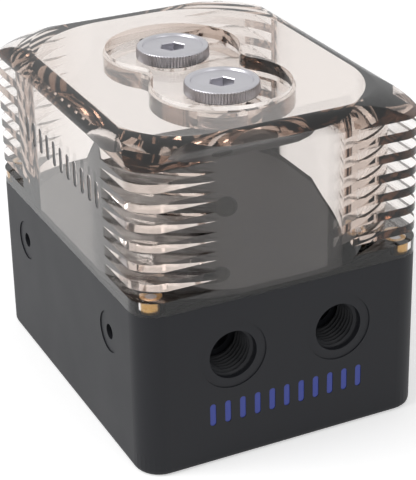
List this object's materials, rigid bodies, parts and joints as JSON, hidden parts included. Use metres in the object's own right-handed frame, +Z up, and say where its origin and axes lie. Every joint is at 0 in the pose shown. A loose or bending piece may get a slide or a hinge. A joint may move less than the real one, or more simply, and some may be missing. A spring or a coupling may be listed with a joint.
{
  "type": "coolant pump reservoir",
  "caption": "Clear smoked coolant tank with slotted corners and knurled fill plugs, on a black base holding an impeller pump with threaded inlet and outlet ports.",
  "frame": {"origin": "centre of the underside, on the floor that the base stands on", "axes": "+Z up, the two threaded ports face -Y, +X to the right when looking at the ports"},
  "size_m": [0.08, 0.1, 0.0888],
  "materials": {
    "base_black": "fine matt moulding",
    "tank_smoke": "smoked clear acrylic, polished",
    "rubber_black": "moulded",
    "plug_nickel": "satin nickel plate",
    "insert_brass": "turned",
    "screw_steel": "zinc plated",
    "inlay_blue": "smooth",
    "can_plastic": "moulded",
    "motor_plastic": "moulded",
    "shaft_ceramic": "ground",
    "bush_carbon": "carbon filled",
    "magnet_ferrite": "ground",
    "impeller_white": "moulded",
    "core_steel": "stacked sheets",
    "bobbin_cream": "moulded",
    "coil_copper": "enamelled wire",
    "board_green": "solder mask",
    "chip_black": "moulded"
  },
  "bodies": {
    "root": {"base_housing": "base_black", "bottom_cover": "base_black", "reservoir_tank": "tank_smoke", "tank_seal": "rubber_black", "tank_inserts": "insert_brass", "tank_screws": "screw_steel", "front_inlays": "inlay_blue", "pump_can": "can_plastic", "can_seal": "rubber_black", "pump_shaft": "shaft_ceramic", "thrust_washer": "shaft_ceramic", "motor_housing": "motor_plastic", "stator_core": "core_steel", "coil_bobbins": "bobbin_cream", "stator_coils": "coil_copper", "motor_board": "board_green", "board_parts": "chip_black", "pump_screws": "screw_steel", "cover_screws": "screw_steel", "cable_grommet": "rubber_black"},
    "rotor": {"impeller": "impeller_white", "impeller_bush": "bush_carbon", "rotor_magnet": "magnet_ferrite"},
    "front_seal_lift": {"plug_seal_front": "rubber_black"},
    "front_plug": {"fill_plug_front": "plug_nickel"},
    "rear_seal_lift": {"plug_seal_rear": "rubber_black"},
    "rear_plug": {"fill_plug_rear": "plug_nickel"}
  },
  "joints": [
    {"name": "impeller_spin", "type": "hinge", "parent": "root", "child": "rotor", "pos_m": [0, 0.004, 0.02], "axis": [0, 0, -1], "continuous": true},
    {"name": "front_plug_lift", "type": "slide", "parent": "root", "child": "front_seal_lift", "axis": [0, 0, 1], "range_m": [0, 0.00535]},
    {"name": "front_plug_turn", "type": "hinge", "parent": "front_seal_lift", "child": "front_plug", "pos_m": [0, -0.015, 0.085], "axis": [0, 0, 1], "range_deg": [0, 1440]},
    {"name": "rear_plug_lift", "type": "slide", "parent": "root", "child": "rear_seal_lift", "axis": [0, 0, 1], "range_m": [0, 0.00535]},
    {"name": "rear_plug_turn", "type": "hinge", "parent": "rear_seal_lift", "child": "rear_plug", "pos_m": [0, 0.015, 0.085], "axis": [0, 0, 1], "range_deg": [0, 1440]}
  ],
  "couplings": [
    {"joint": "front_plug_lift", "follows": "front_plug_turn", "m_per_rad": 0.00021279},
    {"joint": "rear_plug_lift", "follows": "rear_plug_turn", "m_per_rad": 0.00021279}
  ]
}
